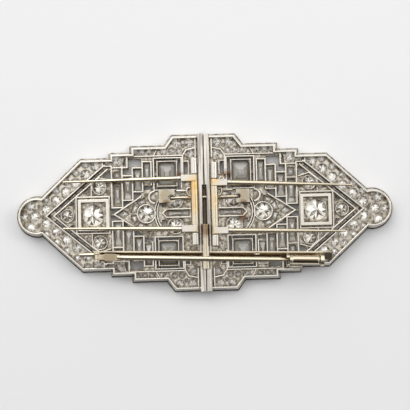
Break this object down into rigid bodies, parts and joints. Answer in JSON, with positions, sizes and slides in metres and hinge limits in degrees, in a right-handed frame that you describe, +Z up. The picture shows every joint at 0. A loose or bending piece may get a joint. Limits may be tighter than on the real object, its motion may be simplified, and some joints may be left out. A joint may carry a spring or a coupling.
{
  "type": "double clip brooch",
  "caption": "Pierced, stone-set brooch of two matching clips with hinged double prongs, held edge to edge on a slide-off frame with a pin and a pull-out tube catch.",
  "frame": {"origin": "under the middle of the closed brooch, on the surface it lies on face down", "axes": "+X along the brooch towards the catch, +Y across it towards the edge away from the pin, +Z up, out of the back that carries the fittings"},
  "size_m": [0.0732, 0.0306, 0.0062],
  "materials": {
    "platinum": "polished white metal, lightly worn",
    "pale_gold": "polished pale gold, warm in the joints",
    "diamond": "clear cut stone"
  },
  "bodies": {
    "frame": {"brooch_frame": "pale_gold", "pin_rivet": "pale_gold"},
    "pin": {"pin_stem": "pale_gold"},
    "sleeve": {"catch_sleeve": "pale_gold"},
    "left_clip": {"left_gallery": "platinum", "left_hinge_rod": "platinum", "left_centre_stone": "diamond", "left_fan_stone": "diamond", "left_end_stone": "diamond", "left_upper_flank_stone": "diamond", "left_lower_flank_stone": "diamond", "left_upper_seam_stone": "diamond", "left_lower_seam_stone": "diamond", "left_upper_step_stone": "diamond", "left_lower_step_stone": "diamond", "left_pave_stones": "diamond", "left_baguette_stones": "diamond"},
    "left_prongs": {"left_double_prong": "pale_gold"},
    "right_clip": {"right_gallery": "platinum", "right_hinge_rod": "platinum", "right_centre_stone": "diamond", "right_fan_stone": "diamond", "right_end_stone": "diamond", "right_upper_flank_stone": "diamond", "right_lower_flank_stone": "diamond", "right_upper_seam_stone": "diamond", "right_lower_seam_stone": "diamond", "right_upper_step_stone": "diamond", "right_lower_step_stone": "diamond", "right_pave_stones": "diamond", "right_baguette_stones": "diamond"},
    "right_prongs": {"right_double_prong": "pale_gold"}
  },
  "joints": [
    {"name": "left_clip_slide", "type": "slide", "parent": "frame", "child": "left_clip", "axis": [-1, 0, 0], "range_m": [0, 0.008]},
    {"name": "right_clip_slide", "type": "slide", "parent": "frame", "child": "right_clip", "axis": [1, 0, 0], "range_m": [0, 0.008]},
    {"name": "left_prong_hinge", "type": "hinge", "parent": "left_clip", "child": "left_prongs", "pos_m": [-0.0019, 0, 0.0039], "axis": [0, 1, 0], "range_deg": [0, 75]},
    {"name": "right_prong_hinge", "type": "hinge", "parent": "right_clip", "child": "right_prongs", "pos_m": [0.0019, 0, 0.0039], "axis": [0, -1, 0], "range_deg": [0, 75]},
    {"name": "pin_hinge", "type": "hinge", "parent": "frame", "child": "pin", "pos_m": [-0.0207, -0.0081, 0.00505], "axis": [-0.0384, -0.9993, 0], "range_deg": [0, 80]},
    {"name": "catch_slide", "type": "slide", "parent": "frame", "child": "sleeve", "axis": [0.9993, -0.0384, 0], "range_m": [0, 0.005]}
  ]
}
